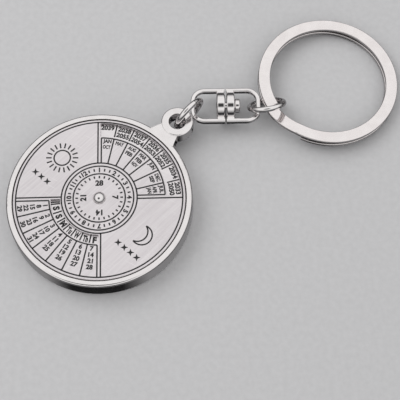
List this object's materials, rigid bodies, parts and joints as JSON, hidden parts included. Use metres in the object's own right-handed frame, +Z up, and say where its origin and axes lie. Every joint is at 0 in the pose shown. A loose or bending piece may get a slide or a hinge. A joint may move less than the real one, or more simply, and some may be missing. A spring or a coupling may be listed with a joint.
{
  "type": "perpetual calendar keyring",
  "caption": "Round keyring case with a calendar dial that turns over a fixed plate, hung from a flat split ring by jump rings and a swivel.",
  "frame": {"origin": "on the dial's axis, in the plane of the case back that the keyring lies on", "axes": "+Z up out of the dial, +X to the right of the dial towards the split ring, +Y to the top of the dial"},
  "size_m": [0.082, 0.062, 0.0084],
  "materials": {
    "polished_nickel": "polished nickel plate",
    "satin_nickel": "satin nickel plate, brushed",
    "plain_steel": "plain spring steel"
  },
  "bodies": {
    "case": {"case_body": "polished_nickel", "back_cover": "satin_nickel", "calendar_plate": "satin_nickel", "dial_rivet": "polished_nickel", "spring_washer": "plain_steel", "tail_washer": "plain_steel"},
    "dial": {"calendar_dial": "satin_nickel"},
    "lug_ring": {"lug_jump_ring": "polished_nickel"},
    "near_bow": {"case_side_bow": "polished_nickel", "swivel_pin": "polished_nickel"},
    "far_bow": {"ring_side_bow": "polished_nickel"},
    "link_ring": {"split_jump_ring": "polished_nickel"},
    "key_ring": {"split_ring": "polished_nickel"}
  },
  "joints": [
    {"name": "dial_turn", "type": "hinge", "parent": "case", "child": "dial", "pos_m": [0, 0, 0.0045], "axis": [0, 0, 1], "continuous": true},
    {"name": "lug_ring_slew", "type": "hinge", "parent": "case", "child": "lug_ring", "pos_m": [0.01574, 0.01718, 0.0033], "axis": [0, 0, 1], "range_deg": [-30, 45]},
    {"name": "bow_swing", "type": "hinge", "parent": "lug_ring", "child": "near_bow", "pos_m": [0.01814, 0.01938, 0.00421], "axis": [0.7273, -0.6783, -0.1045], "range_deg": [-10, 80]},
    {"name": "swivel_spin", "type": "hinge", "parent": "near_bow", "child": "far_bow", "pos_m": [0.02592, 0.02164, 0.0032], "axis": [0.9998, 0.0175, 0], "continuous": true},
    {"name": "link_ring_swing", "type": "hinge", "parent": "far_bow", "child": "link_ring", "pos_m": [0.03284, 0.02176, 0.0032], "axis": [0.0175, -0.9998, 0], "range_deg": [-45, 60]},
    {"name": "key_ring_turn", "type": "hinge", "parent": "link_ring", "child": "key_ring", "pos_m": [0.04792, 0.02799, 0.0021], "axis": [0.063, 0.0294, 0.9976], "continuous": true}
  ]
}
